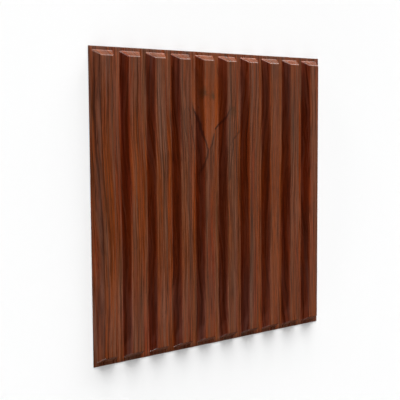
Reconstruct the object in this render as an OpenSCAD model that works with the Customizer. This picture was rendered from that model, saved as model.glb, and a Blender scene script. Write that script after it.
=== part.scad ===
// Ribbed PVC wall panel: one thin sheet formed into a row of upright ribs.
//
// The sheet lies flat with its ribs upward. X runs across the ribs, Y runs
// along them and Z points out of the wall. The valleys and the flange rest
// on Z = 0, and the ribs are hollow from behind because the sheet keeps one
// thickness all over. Lengths are in millimetres.

/* [Panel] */

// Number of ribs side by side
rib_count = 10; // [2:1:16]

// Distance from one rib to the next, which also sets the panel width
rib_pitch = 50; // [46:1:80]

// Panel length along the ribs
panel_length = 500; // [150:10:1200]

// Thickness of the sheet
sheet_thickness = 1; // [0.6:0.1:1.6]

/* [Rib] */

// Height of a rib front above the valleys
rib_depth = 15; // [10:0.5:20]

// Width of the flat rib front between its two sharp edge lines
rib_front_width = 22; // [16:1:24]

// Width in plan of the slope on each long side of a rib
side_slope_run = 8; // [5:0.5:9]

/* [Ends] */

// Width of the flat flange above and below the ribs
end_flange_width = 6; // [4:0.5:20]

// Width in plan of the slope at each end of a rib
end_slope_run = 8; // [5:0.5:20]

/* [Bends] */

// Inner radius of the bends around a rib front
front_bend_radius = 2; // [1:0.25:3]

// Radius, on the face side, of the bends at the foot of a rib
foot_bend_radius = 1.5; // [0.75:0.25:2.5]

/* [Hidden] */

// Roundness of the drawn bends
$fn = 96;

// Height of the rib fronts above the back of the panel
front_z = rib_depth + sheet_thickness;

// Panel width, so that each side flange is half of a valley
panel_width = rib_count * rib_pitch;

// Length of the flat rib front between its two sharp end lines
rib_front_length = panel_length - 2 * (end_flange_width + end_slope_run);

// How far the cutting shape for the hollows reaches below the back
clearance = 1;

// Steepness of a slope, measured from the face of the panel
function slope_angle(run) = atan2(rib_depth, run);

// Direction that points straight out of a slope, for the side given by side
function slope_normal(run, side) = [side * sin(slope_angle(run)), cos(slope_angle(run))];

// Centre of the bend between a front and its slope, for the side given by side
function front_centre(front, run, side) =
    let (reach = (front_bend_radius + sheet_thickness) * tan(slope_angle(run) / 2))
    [side * (front / 2 - reach), rib_depth - front_bend_radius];

// Centre of the bend at the foot of a slope, for the side given by side
function foot_centre(front, run, side) =
    let (reach = foot_bend_radius * tan(slope_angle(run) / 2))
    [side * (front / 2 + run + reach), sheet_thickness + foot_bend_radius];

// Corner points up one slope, over the front and down the other slope.
// The front corners are sharp here, and inset moves them in for the hollow.
// The foot bends appear as straight chords between their two tangent points.
function rib_points(front, run, top, foot_radius, inset) =
    let (foot_l = foot_centre(front, run, -1), foot_r = foot_centre(front, run, 1))
    [
        foot_l - [0, foot_radius],
        foot_l - foot_radius * slope_normal(run, -1),
        [inset - front / 2, top],
        [front / 2 - inset, top],
        foot_r - foot_radius * slope_normal(run, 1),
        foot_r - [0, foot_radius]
    ];

// Place of a rib along the row
function rib_place(index, count) = (index - (count - 1) / 2) * rib_pitch;

// The sliver to take off a sharp front corner, which leaves a round bend
module corner_trim(front, run, side, radius) {
    half_angle = slope_angle(run) / 2;
    reach = radius + clearance;
    up = [0, 1];
    out = slope_normal(run, side);
    corner = [side * sin(half_angle), cos(half_angle)] / cos(half_angle);
    translate(front_centre(front, run, side)) {
        difference() {
            polygon([radius * up, reach * up, reach * corner, reach * out, radius * out]);
            circle(r = radius);
        }
    }
}

// The slivers to take off both front corners of each rib in a row
module front_trims(front, run, count, radius) {
    for (index = [0 : count - 1]) {
        for (side = [-1, 1]) {
            translate([rib_place(index, count), 0])
                corner_trim(front, run, side, radius);
        }
    }
}

// Discs with the given radius around the foot bends of a row
module foot_discs(front, run, count, radius) {
    for (index = [0 : count - 1]) {
        for (side = [-1, 1]) {
            translate(foot_centre(front, run, side) + [rib_place(index, count), 0])
                circle(r = radius);
        }
    }
}

// Everything below the face of the sheet, seen along the ribs or across them
module face_profile(width, front, run, count) {
    rib = rib_points(front, run, front_z, foot_bend_radius, 0);
    row = [
        for (index = [0 : count - 1])
            for (point = rib)
                point + [rib_place(index, count), 0]
    ];
    left = [[-width / 2, 0], [-width / 2, sheet_thickness]];
    right = [[width / 2, sheet_thickness], [width / 2, 0]];
    difference() {
        polygon(concat(left, row, right));
        front_trims(front, run, count, front_bend_radius + sheet_thickness);
        foot_discs(front, run, count, foot_bend_radius);
    }
}

// The hollow behind each rib, seen along the ribs or across them
module hollow_profile(front, run, count) {
    radius = foot_bend_radius + sheet_thickness;
    inset = sheet_thickness * tan(slope_angle(run) / 2);
    rib = rib_points(front, run, rib_depth, radius, inset);
    mouth = [[rib[5][0], -clearance], [rib[0][0], -clearance]];
    for (index = [0 : count - 1]) {
        translate([rib_place(index, count), 0]) {
            difference() {
                polygon(concat(rib, mouth));
                front_trims(front, run, 1, front_bend_radius);
                foot_discs(front, run, 1, radius);
            }
        }
    }
}

// Draws a profile out along the ribs
module along_ribs() {
    rotate([90, 0, 0])
        linear_extrude(height = panel_length, center = true)
            children();
}

// Draws a profile out across the ribs
module across_ribs() {
    rotate([90, 0, 90])
        linear_extrude(height = panel_width, center = true)
            children();
}

// The formed sheet: its face less the hollows behind the ribs. Each is the
// part shared by a long shape and a crosswise one, which mitres the rib ends.
module panel() {
    color([0.42, 0.23, 0.15])
    difference() {
        intersection() {
            along_ribs() face_profile(panel_width, rib_front_width, side_slope_run, rib_count);
            across_ribs() face_profile(panel_length, rib_front_length, end_slope_run, 1);
        }
        intersection() {
            along_ribs() hollow_profile(rib_front_width, side_slope_run, rib_count);
            across_ribs() hollow_profile(rib_front_length, end_slope_run, 1);
        }
    }
}

panel();
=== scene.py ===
"""Dresses a ribbed PVC wall panel that lies flat with its ribs upward.

The panel is one thin sheet of rigid PVC with a printed wood-grain film on its
face. The sheet was formed under heat over a mould, so its ribs are hollow from
behind and every bend is a little round.
"""

import math

import bmesh
import bpy
from mathutils import Matrix, Vector


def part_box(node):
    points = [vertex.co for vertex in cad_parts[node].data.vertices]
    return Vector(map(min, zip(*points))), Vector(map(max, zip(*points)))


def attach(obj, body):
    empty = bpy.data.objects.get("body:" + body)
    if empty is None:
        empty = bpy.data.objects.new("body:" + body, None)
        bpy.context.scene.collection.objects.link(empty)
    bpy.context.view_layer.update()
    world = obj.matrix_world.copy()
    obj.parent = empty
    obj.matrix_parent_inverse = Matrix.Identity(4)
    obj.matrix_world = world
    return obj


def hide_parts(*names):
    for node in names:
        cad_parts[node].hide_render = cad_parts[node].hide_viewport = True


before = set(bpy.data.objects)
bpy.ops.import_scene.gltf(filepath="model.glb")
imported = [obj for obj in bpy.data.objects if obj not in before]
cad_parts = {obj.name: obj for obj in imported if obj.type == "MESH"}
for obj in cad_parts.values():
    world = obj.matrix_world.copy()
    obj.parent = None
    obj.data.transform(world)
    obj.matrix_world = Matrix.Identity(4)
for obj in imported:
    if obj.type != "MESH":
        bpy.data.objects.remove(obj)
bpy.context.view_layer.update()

bl_info = {
    "name": "Ribbed PVC Wall Panel",
    "version": (1, 0, 0),
    "blender": (4, 5, 0),
    "location": "3D View > Sidebar > Wall Panel",
    "description": "Builds a formed PVC wall panel with a wood-grain film, and its stage",
    "category": "Object",
}

PANEL_LOW, PANEL_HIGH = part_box("panel")

# The print is laid out in mm, with x across the ribs, y along them, and 0 in the middle.
HALF_PRINT = 250

# Slow sways of the growth rings: width and length in mm, reach in mm, and shift.
SWAYS = ((90, 300, 12, 3.1), (24, 140, 4.5, 8.7), (13, 55, 3.2, 12.9))

# The rings part around a pointed, paler heart: its middle and half its width in mm, how far
# it pushes them, and the x past which the print covers it again.
HEART_MIDDLE = -27
HEART_HALF = 35
HEART_PUSH = 8
HEART_RIGHT_LIMIT = 11
HEART_LEFT = ((-42, 40), (-37, 60), (-29, 84), (-33, 97), (-38, 114), (-41, 136), (-45, 148),
              (-52, 165), (-56, 190), (-58, 250))
HEART_RIGHT = ((-29, 84), (-21, 93), (-17, 107), (-13, 115), (0, 122), (7, 130), (13, 141),
               (19, 152), (31, 161), (46, 166), (58, 200), (62, 250))

# Streaks of the print: width and length in mm, shift, detail, the noise levels where a streak
# starts and where it is full, its colour, its share, and how much rougher the film is there.
# The greyish streaks are duller than the film around them, and the dark ones glossier.
STREAKS = (
    (34, 420, 51.2, 1, 0.46, 0.66, "russet", 0.5, 0.0),
    (28, 500, 64.9, 1, 0.48, 0.66, "olive", 0.5, 0.05),
    (12, 420, 2.3, 1, 0.46, 0.66, "amber", 0.4, -0.05),
    (6.5, 230, 5.9, 2, 0.48, 0.68, "olive", 0.55, 0.13),
    (4.5, 210, 15.3, 1, 0.54, 0.70, "vein_and_shade", 0.4, -0.08),
    (8, 170, 9.4, 2, 0.52, 0.72, "russet", 0.4, 0.0),
    (3.6, 190, 23.7, 2, 0.48, 0.68, "amber", 0.35, -0.03),
    (3.0, 170, 19.9, 2, 0.46, 0.66, "ash", 0.65, 0.12),
)
FINE_LINES = (
    (1.9, 110, 12.7, 2, 0.46, 0.66, "vein_and_shade", 0.5, -0.14),
    (1.0, 35, 26.3, 1, 0.50, 0.70, "vein_and_shade", 0.5, -0.08),
)

# Bands and veins that follow a line: its points, half its width in mm, its share, and the
# length in mm over which it fades at its two ends.
WARM_BANDS = (
    (((116, -250), (124, -110), (130, 0), (124, 110), (118, 250)), 13, 0.35, 60),
    (((226, -250), (224, 0), (228, 250)), 14, 0.22, 60),
)
VEINS = (
    (HEART_LEFT[:8], 1.3, 0.85, 16),
    (HEART_RIGHT[:9], 1.2, 0.9, 12),
    (((-44, 84), (-47, 97), (-51, 118), (-53, 128), (-65, 139), (-67, 150), (-74, 162)),
     0.9, 0.7, 10),
    (((-70, 98), (-75, 116), (-79, 139), (-77, 153), (-73, 162)), 0.9, 0.6, 14),
    (((20, 30), (23, 70), (27, 91), (33, 108), (50, 113), (54, 122)), 1.5, 0.6, 8),
)

# Knots and washes of grey-brown: centre and reach in mm, and share.
KNOTS = (
    ((-13, 176), (16, 10), 0.65),
    ((-12, 177), (8, 6), 0.95),
    ((-36, 182), (7, 12), 0.8),
    ((27, 150), (12, 14), 0.5),
)

# Distance between growth rings in mm, and how dark one ring's late wood is through its width.
RING_SPACING = 5.2
LATE_WOOD = ((0, 0.25), (0.12, 0.0), (0.5, 0.05), (0.80, 0.6), (0.92, 1.0), (1, 0.25))

# Roughness of the film along the panel: share of the way from its near end, and roughness.
SHEEN = ((0, 0.36), (0.03, 0.37), (0.07, 0.50), (0.14, 0.53), (0.30, 0.34), (0.5, 0.27),
         (0.72, 0.33), (0.86, 0.38), (1, 0.39))

# Soft lamps: azimuth and height in degrees, the light on a face turned to it, and how many
# degrees wide it looks.
LAMPS = (
    ("far_softbox", 88, 20, 1.36, 40),
    ("high_softbox", 75, 52, 0.41, 40),
    ("corner_strip", 48, 8, 0.66, 28),
    ("right_fill", 0, 32, 0.035, 40),
    ("near_fill", 270, 25, 0.20, 40),
    ("low_strip", 130, 1, 0.50, 14),
    ("floor_strip", 228, 1, 0.45, 12),
)

# The room around the white floor: its light on the panel, and what a gloss shows of it.
ROOM_LIGHT = 0.06
ROOM_MIRRORED = 0.06
# The floor is white paper. The photograph's white is a cut-out that its panel doesn't mirror,
# so a gloss shows only this much of the floor.
PAPER_WHITE = 0.92
PAPER_MIRRORED = 0.15
FLOOR_HALF = 30

# The camera stands as the photograph's did: place and aim in metres, lens in mm, degrees.
EYE = Vector((-0.9403, 0.1310, 1.1397))
AIM = Vector((-0.0351, 0.0012, 0.0010))
LENS = 77.4
ROLL = -0.36


def linear(code):
    """Linear red, green and blue of an sRGB hex colour such as "#6C3A26"."""
    parts = [int(code[i : i + 2], 16) / 255 for i in (1, 3, 5)]
    return tuple(c / 12.92 if c <= 0.04045 else ((c + 0.055) / 1.055) ** 2.4 for c in parts)


def opaque(colour):
    """The same colour with full opacity, as a colour socket wants it."""
    return (*colour, 1.0)


def colour_property(name, description, code):
    """A colour that a user can change, with its default given as sRGB hex."""
    return bpy.props.FloatVectorProperty(
        name=name, description=description, default=linear(code), subtype="COLOR",
        size=3, min=0.0, max=1.0)


class PanelShape(bpy.types.PropertyGroup):
    """Sizes of the formed sheet."""

    rib_count: bpy.props.IntProperty(
        name="Ribs", description="Ribs side by side", default=10, min=1)
    sheet: bpy.props.FloatProperty(
        name="Sheet", description="Thickness of the PVC sheet",
        default=0.001, min=0.0005, unit="LENGTH")
    front_width: bpy.props.FloatProperty(
        name="Rib Front", description="Width of a rib's flat front between sharp edge lines",
        default=0.022, unit="LENGTH")
    slope_run: bpy.props.FloatProperty(
        name="Slope", description="Width in plan of the slopes all round a rib",
        default=0.008, unit="LENGTH")
    end_flange: bpy.props.FloatProperty(
        name="End Flange", description="Flat flange beyond the ends of the ribs",
        default=0.006, unit="LENGTH")
    front_bend: bpy.props.FloatProperty(
        name="Front Bend", description="Outer radius of the bends around a rib front",
        default=0.003, unit="LENGTH")
    foot_bend: bpy.props.FloatProperty(
        name="Foot Bend", description="Face-side radius of the bends at a rib's foot",
        default=0.0015, unit="LENGTH")


class FilmLook(bpy.types.PropertyGroup):
    """Colours of the printed film and of the bare PVC."""

    ground: colour_property("Ground", "Brown that the grain is printed on", "#863C11")
    amber: colour_property("Amber", "Warm broad bands between the rings", "#9A4815")
    ash: colour_property("Ash", "Fine greyish streaks of the early wood", "#865239")
    olive: colour_property("Olive", "Greyish bands of heartwood", "#5C422E")
    russet: colour_property("Russet", "Reddish bands", "#802F19")
    # This dark colour also tints the painted shade on the raised ribs and the flat rim.
    vein_and_shade: colour_property("Vein", "Dark lines of the late wood, and the pores", "#2C1408")
    smudge: colour_property("Smudge", "Grey-brown of the knot", "#432C12")
    # This red also paints the shade on the steep sides of the ribs: partly stretched film, partly
    # painted shade.
    base: colour_property("Base", "Red-brown PVC that shows through where film is stretched",
                          "#641400")
    bare: colour_property("Bare PVC", "Dyed PVC on the back and the trimmed edge", "#4A2618")
    bloom: colour_property("Bloom", "Pale haze and knife marks on bare PVC", "#7A5646")


def add_node(tree, kind, settings=None, inputs=None):
    """Adds a node, applies its settings, and gives its inputs values or links."""
    node = tree.nodes.new(kind)
    for name, value in (settings or {}).items():
        setattr(node, name, value)
    for key, value in (inputs or {}).items():
        if isinstance(value, bpy.types.Node):
            value = value.outputs[0]
        if isinstance(value, bpy.types.NodeSocket):
            tree.links.new(value, node.inputs[key])
        else:
            node.inputs[key].default_value = value
    return node


def draw_through(curve, points):
    """Bends a Float Curve node's line through (x, y) points."""
    spots = curve.mapping.curves[0].points
    spots[0].location, spots[1].location = points[0], points[-1]
    for point in points[1:-1]:
        spots.new(*point)
    curve.mapping.update()


def new_material(name):
    """An empty node material and its tree."""
    material = bpy.data.materials.new(name)
    material.use_nodes = True
    material.node_tree.nodes.clear()
    return material, material.node_tree


def finish_material(tree, surface):
    """Links a shader to the material's output."""
    add_node(tree, "ShaderNodeOutputMaterial", None, {"Surface": surface.outputs[0]})


def grain(tree, place, width, length, shift, detail=0.0):
    """Noise that is width mm across the grain and length mm along it, about 0.5."""
    stretched = add_node(tree, "ShaderNodeMapping", None, {
        "Vector": place, "Location": (shift, 3.7 * shift, 1.9 * shift),
        "Scale": (1 / width, 1 / length, 1)})
    return add_node(tree, "ShaderNodeTexNoise", {"noise_dimensions": "3D"}, {
        "Vector": stretched, "Scale": 1.0, "Detail": detail, "Roughness": 0.55})


def streaks(tree, place, width, length, shift, detail, low, high, share):
    """Long soft streaks: 0 between them, share in their middle."""
    return add_node(tree, "ShaderNodeMapRange", {"interpolation_type": "SMOOTHSTEP"}, {
        0: grain(tree, place, width, length, shift, detail), 1: low, 2: high, 3: 0, 4: share})


def blend(tree, amount, colour, tint):
    """Colour laid over with a tint by an amount from 0 to 1."""
    mix = add_node(tree, "ShaderNodeMix", {"data_type": "RGBA"}, {
        0: amount, 6: colour, 7: opaque(tint)})
    return mix.outputs[2]


def ring_place(tree, print_place, x, y):
    """Print coordinates bent so that lines of equal x follow the growth rings.

    The rings tilt a little, sway, and part around the heart toward one end.
    """
    across = add_node(tree, "ShaderNodeMath", {"operation": "MULTIPLY_ADD"}, {
        0: y, 1: 0.012, 2: x})
    for width, length, reach, shift in SWAYS:
        centred = add_node(tree, "ShaderNodeMath", {"operation": "SUBTRACT"}, {
            0: grain(tree, print_place, width, length, shift), 1: 0.5})
        across = add_node(tree, "ShaderNodeMath", {"operation": "MULTIPLY_ADD"}, {
            0: centred, 1: reach, 2: across})
    off_heart = add_node(tree, "ShaderNodeMath", {"operation": "SUBTRACT"}, {
        0: across, 1: HEART_MIDDLE})
    spread = add_node(tree, "ShaderNodeMath", {"operation": "MULTIPLY_ADD"}, {
        0: off_heart, 1: off_heart, 2: HEART_HALF ** 2})
    push = add_node(tree, "ShaderNodeMapRange", {"interpolation_type": "SMOOTHSTEP"}, {
        0: y, 1: 20, 2: 190, 3: 0, 4: 2 * HEART_HALF * HEART_PUSH})
    parted = add_node(tree, "ShaderNodeMath", {"operation": "DIVIDE"}, {0: push, 1: spread})
    kept = add_node(tree, "ShaderNodeMath", {"operation": "SUBTRACT"}, {0: 1, 1: parted})
    ring = add_node(tree, "ShaderNodeMath", {"operation": "MULTIPLY"}, {0: off_heart, 1: kept})
    side = add_node(tree, "ShaderNodeMath", {"operation": "DIVIDE"}, {0: x, 1: 120})
    place = add_node(tree, "ShaderNodeCombineXYZ", None, {0: ring, 1: y, 2: side})
    return ring, place.outputs[0]


def lay_streaks(tree, place, look, colour, gloss, table):
    """Colour and roughness with a table of streaks laid over them."""
    for width, length, shift, detail, low, high, tint, share, rougher in table:
        amount = streaks(tree, place, width, length, shift, detail, low, high, share)
        colour = blend(tree, amount, colour, getattr(look, tint))
        gloss = add_node(tree, "ShaderNodeMath", {"operation": "MULTIPLY_ADD"}, {
            0: amount, 1: rougher / share, 2: gloss})
    return colour, gloss


def late_wood(tree, ring, place):
    """Thin dark lines, one to each growth ring: they grow dark slowly and end sharply."""
    turns = add_node(tree, "ShaderNodeMath", {"operation": "MULTIPLY"}, {
        0: grain(tree, place, 11, 190, 31.3, 2), 1: 1.8})
    count = add_node(tree, "ShaderNodeMath", {"operation": "MULTIPLY_ADD"}, {
        0: ring, 1: 1 / RING_SPACING, 2: turns})
    phase = add_node(tree, "ShaderNodeMath", {"operation": "FRACT"}, {0: count})
    dark = add_node(tree, "ShaderNodeFloatCurve", None, {"Value": phase})
    draw_through(dark, LATE_WOOD)
    return add_node(tree, "ShaderNodeMath", {"operation": "MULTIPLY"}, {
        0: dark, 1: streaks(tree, place, 6, 180, 41.9, 1, 0.34, 0.58, 1.0)})


def drawn_line(tree, y, points):
    """The x, in mm, of a line drawn through (x, y) points, and its lean there."""
    low, high = points[0][1], points[-1][1]
    shares = [((py - low) / (high - low), px / (2 * HALF_PRINT) + 0.5) for px, py in points]
    step = 1.5
    found = []
    for shift in (-step, step):
        along = add_node(tree, "ShaderNodeMapRange", None, {
            0: y, 1: low - shift, 2: high - shift, 3: 0, 4: 1})
        line = add_node(tree, "ShaderNodeFloatCurve", None, {"Value": along})
        draw_through(line, shares)
        found.append(line)
    both = add_node(tree, "ShaderNodeMath", {"operation": "ADD"}, {0: found[0], 1: found[1]})
    middle = add_node(tree, "ShaderNodeMath", {"operation": "MULTIPLY_ADD"}, {
        0: both, 1: HALF_PRINT, 2: -HALF_PRINT})
    rise = add_node(tree, "ShaderNodeMath", {"operation": "SUBTRACT"}, {0: found[1], 1: found[0]})
    lean = add_node(tree, "ShaderNodeMath", {"operation": "MULTIPLY"}, {
        0: rise, 1: HALF_PRINT / step})
    return middle, lean


def drawn_band(tree, x, y, points, half_width, share, fade):
    """Share of a band drawn through (x, y) points; it fades out at its two ends."""
    middle, lean = drawn_line(tree, y, points)
    squared = add_node(tree, "ShaderNodeMath", {"operation": "MULTIPLY_ADD"}, {
        0: lean, 1: lean, 2: 1})
    steepness = add_node(tree, "ShaderNodeMath", {"operation": "SQRT"}, {0: squared})
    away = add_node(tree, "ShaderNodeMath", {"operation": "SUBTRACT"}, {0: x, 1: middle})
    apart = add_node(tree, "ShaderNodeMath", {"operation": "ABSOLUTE"}, {0: away})
    distance = add_node(tree, "ShaderNodeMath", {"operation": "DIVIDE"}, {0: apart, 1: steepness})
    band = add_node(tree, "ShaderNodeMapRange", {"interpolation_type": "SMOOTHSTEP"}, {
        0: distance, 1: 1.7 * half_width, 2: 0.3 * half_width, 3: 0, 4: share})
    for end, inner in ((points[0][1], points[0][1] + fade), (points[-1][1], points[-1][1] - fade)):
        there = add_node(tree, "ShaderNodeMapRange", {"interpolation_type": "SMOOTHSTEP"}, {
            0: y, 1: end, 2: inner, 3: 0, 4: 1})
        band = add_node(tree, "ShaderNodeMath", {"operation": "MULTIPLY"}, {0: band, 1: there})
    return band


def knot(tree, print_place, centre, reach, share):
    """Share of a small ragged smudge at centre, in mm."""
    spot = add_node(tree, "ShaderNodeMapping", {"vector_type": "TEXTURE"}, {
        "Vector": print_place, "Location": (*centre, 0), "Scale": (*reach, 1)})
    distance = add_node(tree, "ShaderNodeVectorMath", {"operation": "LENGTH"}, {0: spot})
    ragged = add_node(tree, "ShaderNodeMath", {"operation": "MULTIPLY_ADD"}, {
        0: grain(tree, print_place, 7, 5, 77.3, 2), 1: 1.2, 2: distance.outputs["Value"]})
    return add_node(tree, "ShaderNodeMapRange", {"interpolation_type": "SMOOTHSTEP"}, {
        0: ragged, 1: 1.7, 2: 0.7, 3: 0, 4: share})


def heart_share(tree, rough_x, y):
    """1 in the pointed heart between its two drawn edges, fading toward the far end."""
    left, _ = drawn_line(tree, y, HEART_LEFT)
    right, _ = drawn_line(tree, y, HEART_RIGHT)
    right = add_node(tree, "ShaderNodeMath", {"operation": "MINIMUM"}, {
        0: right, 1: HEART_RIGHT_LIMIT})
    from_left = add_node(tree, "ShaderNodeMath", {"operation": "SUBTRACT"}, {0: rough_x, 1: left})
    from_right = add_node(tree, "ShaderNodeMath", {"operation": "SUBTRACT"}, {0: right, 1: rough_x})
    deep = add_node(tree, "ShaderNodeMath", {"operation": "MINIMUM"}, {0: from_left, 1: from_right})
    between = add_node(tree, "ShaderNodeMapRange", {"interpolation_type": "SMOOTHSTEP"}, {
        0: deep, 1: -3, 2: 8, 3: 0, 4: 1})
    above_tip = add_node(tree, "ShaderNodeMapRange", {"interpolation_type": "SMOOTHSTEP"}, {
        0: y, 1: 82, 2: 92, 3: 0, 4: 1})
    toward_end = add_node(tree, "ShaderNodeMapRange", {"interpolation_type": "SMOOTHSTEP"}, {
        0: y, 1: 230, 2: 165, 3: 0.35, 4: 1})
    heart = add_node(tree, "ShaderNodeMath", {"operation": "MULTIPLY"}, {0: between, 1: above_tip})
    return add_node(tree, "ShaderNodeMath", {"operation": "MULTIPLY"}, {0: heart, 1: toward_end})


def stretched_and_shaded_share(tree, normal, aside):
    """1 on the steep sides of the ribs: partly where forming stretched the film most, partly
    painted shade for the deep shade between the ribs.

    The two outermost sides, which no neighbouring rib shades, get a quarter of it.
    """
    facing = add_node(tree, "ShaderNodeSeparateXYZ", None, {0: normal})
    sideways = add_node(tree, "ShaderNodeMath", {"operation": "ABSOLUTE"}, {0: facing})
    steep = add_node(tree, "ShaderNodeMapRange", {"interpolation_type": "SMOOTHSTEP"}, {
        0: sideways, 1: 0.2, 2: 0.8, 3: 0, 4: 1})
    between_neighbours = add_node(tree, "ShaderNodeMapRange", None, {0: aside, 1: 232, 2: 237, 3: 1, 4: 0.25})
    return add_node(tree, "ShaderNodeMath", {"operation": "MULTIPLY"}, {0: steep, 1: between_neighbours})


def painted_shade_share(tree, place, aside, y):
    """Painted shade: how much darker the film is painted on the raised ribs and the flat rim, so
    that the flat between the ribs stays lighter, as if lit by light bounced off the rib sides.
    """
    heights = add_node(tree, "ShaderNodeSeparateXYZ", None, {0: place})
    ribs_painted_shade = add_node(tree, "ShaderNodeMapRange", {"interpolation_type": "SMOOTHSTEP"}, {
        0: heights.outputs[2], 1: 0.001, 2: 0.006, 3: 0, 4: 0.27})
    ahead = add_node(tree, "ShaderNodeMath", {"operation": "ABSOLUTE"}, {0: y})
    outward = add_node(tree, "ShaderNodeMath", {"operation": "MAXIMUM"}, {0: aside, 1: ahead})
    rim_painted_shade = add_node(tree, "ShaderNodeMapRange", {"interpolation_type": "SMOOTHSTEP"}, {
        0: outward, 1: 242, 2: 246, 3: 0, 4: 0.27})
    return add_node(tree, "ShaderNodeMath", {"operation": "MAXIMUM"}, {0: ribs_painted_shade, 1: rim_painted_shade})


def film_material(look):
    """Printed wood-grain film, laminated on PVC sheet and formed with it under heat.

    To the eye it is red-brown wood in long streaks under a satin sheen, redder and darker on
    the sides of the ribs, partly from stretched film and partly as painted shade, with a pointed
    figure and a knot toward one end.
    """
    material, tree = new_material("wood_grain_pvc_film")
    coordinates = add_node(tree, "ShaderNodeTexCoord")
    print_place = add_node(tree, "ShaderNodeMapping", None, {
        "Vector": coordinates.outputs["Object"], "Scale": (1000, 1000, 0)}).outputs[0]
    split = add_node(tree, "ShaderNodeSeparateXYZ", None, {0: print_place})
    x, y = split.outputs[0], split.outputs[1]
    aside = add_node(tree, "ShaderNodeMath", {"operation": "ABSOLUTE"}, {0: x})
    ring, place = ring_place(tree, print_place, x, y)
    jog = add_node(tree, "ShaderNodeMath", {"operation": "MULTIPLY_ADD"}, {
        0: grain(tree, print_place, 9, 9, 57.1, 2), 1: 3.0, 2: -1.5})
    rough_x = add_node(tree, "ShaderNodeMath", {"operation": "ADD"}, {0: x, 1: jog})
    heart = heart_share(tree, rough_x, y)
    stretched = stretched_and_shaded_share(tree, coordinates.outputs["Normal"], aside)

    along = add_node(tree, "ShaderNodeMapRange", None, {
        0: y, 1: -HALF_PRINT, 2: HALF_PRINT, 3: 0, 4: 1})
    sheen = add_node(tree, "ShaderNodeFloatCurve", None, {"Value": along})
    draw_through(sheen, SHEEN)
    colour, gloss = lay_streaks(tree, place, look, opaque(look.ground), sheen, STREAKS)
    for points, half_width, share, fade in WARM_BANDS:
        band = drawn_band(tree, rough_x, y, points, half_width, share, fade)
        colour = blend(tree, band, colour, look.amber)
    # Partly painted shade: the steep sides take on this red both where stretched film shows the PVC
    # and as painted shade for the deep shade between the ribs.
    bared_and_shaded = add_node(tree, "ShaderNodeMath", {"operation": "MULTIPLY"}, {0: stretched, 1: 0.43})
    colour = blend(tree, bared_and_shaded, colour, look.base)

    colour, gloss = lay_streaks(tree, place, look, colour, gloss, FINE_LINES)
    outside_heart = add_node(tree, "ShaderNodeMath", {"operation": "MULTIPLY_ADD"}, {
        0: heart, 1: -0.8, 2: 1})
    line = add_node(tree, "ShaderNodeMath", {"operation": "MULTIPLY"}, {
        0: late_wood(tree, ring, place), 1: 0.65})
    line = add_node(tree, "ShaderNodeMath", {"operation": "MULTIPLY"}, {0: line, 1: outside_heart})
    colour = blend(tree, line, colour, look.vein_and_shade)
    gloss = add_node(tree, "ShaderNodeMath", {"operation": "MULTIPLY_ADD"}, {
        0: line, 1: -0.12, 2: gloss})
    plain = add_node(tree, "ShaderNodeMath", {"operation": "MULTIPLY"}, {0: heart, 1: 0.5})
    colour = blend(tree, plain, colour, look.amber)
    for points, half_width, share, fade in VEINS:
        band = drawn_band(tree, rough_x, y, points, half_width, share, fade)
        colour = blend(tree, band, colour, look.vein_and_shade)
    # Real pores are about 0.15 mm wide. They are drawn at 0.4 mm, so that they show.
    pores = streaks(tree, place, 0.4, 7, 88.1, 0, 0.66, 0.74, 0.45)
    colour = blend(tree, pores, colour, look.vein_and_shade)
    for centre, reach, share in KNOTS:
        colour = blend(tree, knot(tree, print_place, centre, reach, share), colour, look.smudge)

    # Painted shade: the raised ribs and the flat rim are painted darker than the flat between the
    # ribs.
    darker = painted_shade_share(tree, coordinates.outputs["Object"], aside, y)
    colour = blend(tree, darker, colour, look.vein_and_shade)
    # Redder still on the steep sides, over the fine lines: partly stretched film, partly painted
    # shade.
    reddened_and_shaded = add_node(tree, "ShaderNodeMath", {"operation": "MULTIPLY"}, {0: stretched, 1: 0.22})
    colour = blend(tree, reddened_and_shaded, colour, look.base)
    # The film is embossed 0.05 mm deep along its pores and dark lines.
    furrows = add_node(tree, "ShaderNodeMath", {"operation": "ADD"}, {0: pores, 1: line})
    relief = add_node(tree, "ShaderNodeBump", {"invert": True}, {
        "Strength": 0.4, "Distance": 0.00005, "Height": furrows})
    shader = add_node(tree, "ShaderNodeBsdfPrincipled", None, {
        "Base Color": colour, "Roughness": gloss, "IOR": 1.43, "Normal": relief})
    finish_material(tree, shader)
    return material


def back_material(look):
    """Dyed rigid PVC as it left the calender, on the back of the sheet.

    To the eye it is dull dark brown with faint flow lines and a hazy bloom.
    """
    material, tree = new_material("bare_pvc_back")
    coordinates = add_node(tree, "ShaderNodeTexCoord")
    place = add_node(tree, "ShaderNodeMapping", None, {
        "Vector": coordinates.outputs["Object"], "Scale": (1000, 1000, 1000)}).outputs[0]
    colour = opaque(look.bare)
    for width, length, shift, detail, low, high, tint, share in (
        (70, 160, 4.4, 3, 0.40, 0.75, look.bloom, 0.30),
        (3, 260, 7.9, 2, 0.45, 0.75, look.bloom, 0.14),
        (5, 300, 11.6, 2, 0.50, 0.75, look.vein_and_shade, 0.22),
    ):
        colour = blend(tree, streaks(tree, place, width, length, shift, detail, low, high, share),
                       colour, tint)
    # A calender leaves a pebble about 0.5 mm wide. It is drawn at 1.4 mm, so that it shows.
    pebble = grain(tree, place, 1.4, 1.4, 21.0, 2)
    relief = add_node(tree, "ShaderNodeBump", None, {
        "Strength": 0.35, "Distance": 0.00005, "Height": pebble})
    dull = add_node(tree, "ShaderNodeMapRange", None, {
        0: grain(tree, place, 40, 90, 14.2, 2), 1: 0.3, 2: 0.7, 3: 0.46, 4: 0.62})
    shader = add_node(tree, "ShaderNodeBsdfPrincipled", None, {
        "Base Color": colour, "Roughness": dull, "IOR": 1.53, "Normal": relief})
    finish_material(tree, shader)
    return material


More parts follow.
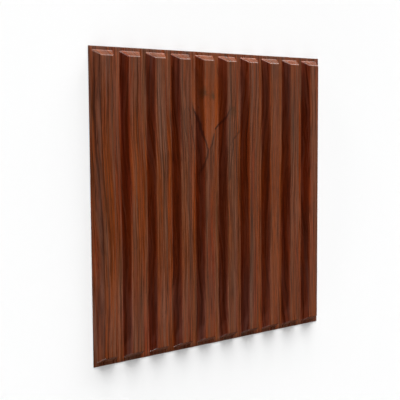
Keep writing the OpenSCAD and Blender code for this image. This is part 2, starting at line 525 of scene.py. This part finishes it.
def cut_material(look):
    """Dyed rigid PVC cut with a knife, at the trimmed edge of the sheet.

    To the eye it is a matt brown line with fine paler knife marks across it.
    """
    material, tree = new_material("trimmed_pvc_edge")
    coordinates = add_node(tree, "ShaderNodeTexCoord")
    place = add_node(tree, "ShaderNodeMapping", None, {
        "Vector": coordinates.outputs["Object"], "Scale": (1000, 1000, 150)}).outputs[0]
    marks = streaks(tree, place, 0.7, 0.7, 33.0, 2, 0.45, 0.75, 0.4)
    colour = blend(tree, marks, opaque(look.bare), look.bloom)
    shader = add_node(tree, "ShaderNodeBsdfPrincipled", None, {
        "Base Color": colour, "Roughness": 0.62, "IOR": 1.53})
    finish_material(tree, shader)
    return material


def formed_face(shape, low, high):
    """The face of the sheet: a flat square with its ribs raised and its bends rounded."""
    pitch = (high.x - low.x) / shape.rib_count
    depth = high.z - low.z - shape.sheet
    half_foot = shape.front_width / 2 + shape.slope_run
    centres = [low.x + pitch * (i + 0.5) for i in range(shape.rib_count)]
    face_z = low.z + shape.sheet
    bm = bmesh.new()
    corners = [bm.verts.new((x, y, face_z)) for x, y in (
        (low.x, low.y), (high.x, low.y), (high.x, high.y), (low.x, high.y))]
    bm.faces.new(corners)
    cuts = [((x + side * half_foot, 0, 0), (1, 0, 0)) for x in centres for side in (-1, 1)]
    cuts += [((0, low.y + shape.end_flange, 0), (0, 1, 0)),
             ((0, high.y - shape.end_flange, 0), (0, 1, 0))]
    for point, normal in cuts:
        bmesh.ops.bisect_plane(bm, geom=bm.verts[:] + bm.edges[:] + bm.faces[:],
                               plane_co=point, plane_no=normal)
    feet = [f for f in bm.faces
            if abs(f.calc_center_median().y) < (high.y - low.y) / 4
            and min(abs(f.calc_center_median().x - x) for x in centres) < half_foot / 2]
    bmesh.ops.inset_individual(bm, faces=feet, thickness=shape.slope_run,
                               depth=depth, use_even_offset=True)
    angle = math.atan2(depth, shape.slope_run)
    front = [e for e in bm.edges if max(v.co.z for v in e.verts) > face_z + depth / 2]
    bmesh.ops.bevel(bm, geom=front, offset=shape.front_bend * math.tan(angle / 2),
                    offset_type="OFFSET", segments=6, profile=0.5, affect="EDGES",
                    material=-1)
    foot = [e for e in bm.edges if e.is_manifold
            and all(abs(v.co.z - face_z) < 1e-6 for v in e.verts)
            and any(f.calc_center_median().z > face_z + 1e-5 for f in e.link_faces)]
    bmesh.ops.bevel(bm, geom=foot, offset=shape.foot_bend * math.tan(angle / 2),
                    offset_type="OFFSET", segments=4, profile=0.5, affect="EDGES",
                    material=-1)
    for face in bm.faces:
        face.smooth = True
    return bm


class WALLPANEL_OT_form_sheet(bpy.types.Operator):
    """Forms the thin sheet with its ribs, bends and flange, and covers its face with film"""

    bl_idname = "wallpanel.form_sheet"
    bl_label = "Form Sheet"

    def execute(self, context):
        shape = context.scene.wallpanel_shape
        look = context.scene.wallpanel_look
        bm = formed_face(shape, PANEL_LOW, PANEL_HIGH)
        mesh = bpy.data.meshes.new("formed_sheet")
        bm.to_mesh(mesh)
        bm.free()
        sheet = bpy.data.objects.new("formed_sheet", mesh)
        context.scene.collection.objects.link(sheet)
        for material in (film_material(look), back_material(look), cut_material(look)):
            mesh.materials.append(material)
        wall = sheet.modifiers.new("sheet_thickness", "SOLIDIFY")
        wall.thickness = shape.sheet
        wall.offset = -1
        wall.use_even_offset = True
        wall.material_offset = 1
        wall.material_offset_rim = 2
        flats = sheet.modifiers.new("flat_faces_stay_flat", "WEIGHTED_NORMAL")
        flats.keep_sharp = True
        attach(sheet, "root")
        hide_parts("panel")
        return {"FINISHED"}


def mirrored_ray(tree):
    """1 for what a gloss or a glass shows, 0 for what the camera or the light meets."""
    path = add_node(tree, "ShaderNodeLightPath")
    return add_node(tree, "ShaderNodeMath", {"operation": "MAXIMUM"}, {
        0: path.outputs["Is Glossy Ray"], 1: path.outputs["Is Transmission Ray"]})


def white_floor(scene):
    """A wide sheet of white paper under the panel."""
    bm = bmesh.new()
    bmesh.ops.create_grid(bm, x_segments=1, y_segments=1, size=FLOOR_HALF)
    mesh = bpy.data.meshes.new("floor")
    bm.to_mesh(mesh)
    bm.free()
    floor = bpy.data.objects.new("floor", mesh)
    scene.collection.objects.link(floor)
    material, tree = new_material("white_paper_sweep")
    paper = add_node(tree, "ShaderNodeMapRange", None, {
        0: mirrored_ray(tree), 1: 0, 2: 1, 3: PAPER_WHITE, 4: PAPER_MIRRORED})
    shader = add_node(tree, "ShaderNodeBsdfDiffuse", None, {"Color": paper})
    finish_material(tree, shader)
    mesh.materials.append(material)


def studio_world(scene):
    """Dim even light from a grey room, with a white horizon for the camera."""
    world = bpy.data.worlds.new("studio")
    scene.world = world
    world.use_nodes = True
    tree = world.node_tree
    tree.nodes.clear()
    path = add_node(tree, "ShaderNodeLightPath")
    mirrored = add_node(tree, "ShaderNodeMath", {"operation": "MULTIPLY"}, {
        0: mirrored_ray(tree), 1: ROOM_MIRRORED})
    seen = add_node(tree, "ShaderNodeMath", {"operation": "MAXIMUM"}, {
        0: path.outputs["Is Camera Ray"], 1: mirrored})
    level = add_node(tree, "ShaderNodeMath", {"operation": "MAXIMUM"}, {0: seen, 1: ROOM_LIGHT})
    back = add_node(tree, "ShaderNodeBackground", None, {
        "Color": (1, 1, 1, 1), "Strength": level})
    add_node(tree, "ShaderNodeOutputWorld", None, {"Surface": back})


def soft_lamps(scene):
    """Hangs the lamps, each turned to the panel."""
    for name, azimuth, height, strength, spread in LAMPS:
        lamp = bpy.data.lights.new(name, "SUN")
        lamp.energy, lamp.angle = strength * math.pi, math.radians(spread)
        obj = bpy.data.objects.new(name, lamp)
        turn, lift = math.radians(azimuth), math.radians(height)
        toward = Vector((math.cos(turn) * math.cos(lift), math.sin(turn) * math.cos(lift),
                         math.sin(lift)))
        obj.rotation_euler = toward.to_track_quat("Z", "Y").to_euler()
        scene.collection.objects.link(obj)


def set_camera(scene):
    """Stands the camera so that the panel's far side is up in the picture."""
    camera = bpy.data.objects.new("camera", bpy.data.cameras.new("camera"))
    scene.collection.objects.link(camera)
    camera.data.sensor_width = 36
    camera.data.lens = LENS
    back = (EYE - AIM).normalized()
    side = Vector((0, 1, 0)).cross(back).normalized()
    turn = Matrix((side, back.cross(side), back)).transposed()
    roll = Matrix.Rotation(math.radians(ROLL), 3, "Z")
    camera.matrix_world = Matrix.Translation(EYE) @ (turn @ roll).to_4x4()
    scene.camera = camera


class WALLPANEL_OT_set_stage(bpy.types.Operator):
    """Lays the pale floor and sets the soft lights and the camera"""

    bl_idname = "wallpanel.set_stage"
    bl_label = "Set Stage"

    def execute(self, context):
        scene = context.scene
        scene.view_settings.view_transform = "Standard"
        white_floor(scene)
        studio_world(scene)
        soft_lamps(scene)
        set_camera(scene)
        return {"FINISHED"}


class WALLPANEL_PT_sidebar(bpy.types.Panel):
    """Lists the steps of the wall panel, and its sizes and colours"""

    bl_idname = "WALLPANEL_PT_sidebar"
    bl_label = "Wall Panel"
    bl_space_type = "VIEW_3D"
    bl_region_type = "UI"
    bl_category = "Wall Panel"

    def draw(self, context):
        layout = self.layout
        for operator in (WALLPANEL_OT_form_sheet, WALLPANEL_OT_set_stage):
            layout.operator(operator.bl_idname)
        scene = context.scene
        for group in (scene.wallpanel_shape, scene.wallpanel_look):
            for name in type(group).__annotations__:
                layout.prop(group, name)


CLASSES = (PanelShape, FilmLook, WALLPANEL_OT_form_sheet, WALLPANEL_OT_set_stage,
           WALLPANEL_PT_sidebar)


def register():
    for cls in CLASSES:
        bpy.utils.register_class(cls)
    bpy.types.Scene.wallpanel_shape = bpy.props.PointerProperty(type=PanelShape)
    bpy.types.Scene.wallpanel_look = bpy.props.PointerProperty(type=FilmLook)


def unregister():
    del bpy.types.Scene.wallpanel_look
    del bpy.types.Scene.wallpanel_shape
    for cls in reversed(CLASSES):
        bpy.utils.unregister_class(cls)


def main():
    register()
    bpy.ops.wallpanel.form_sheet()
    bpy.ops.wallpanel.set_stage()


if __name__ == "__main__":
    main()
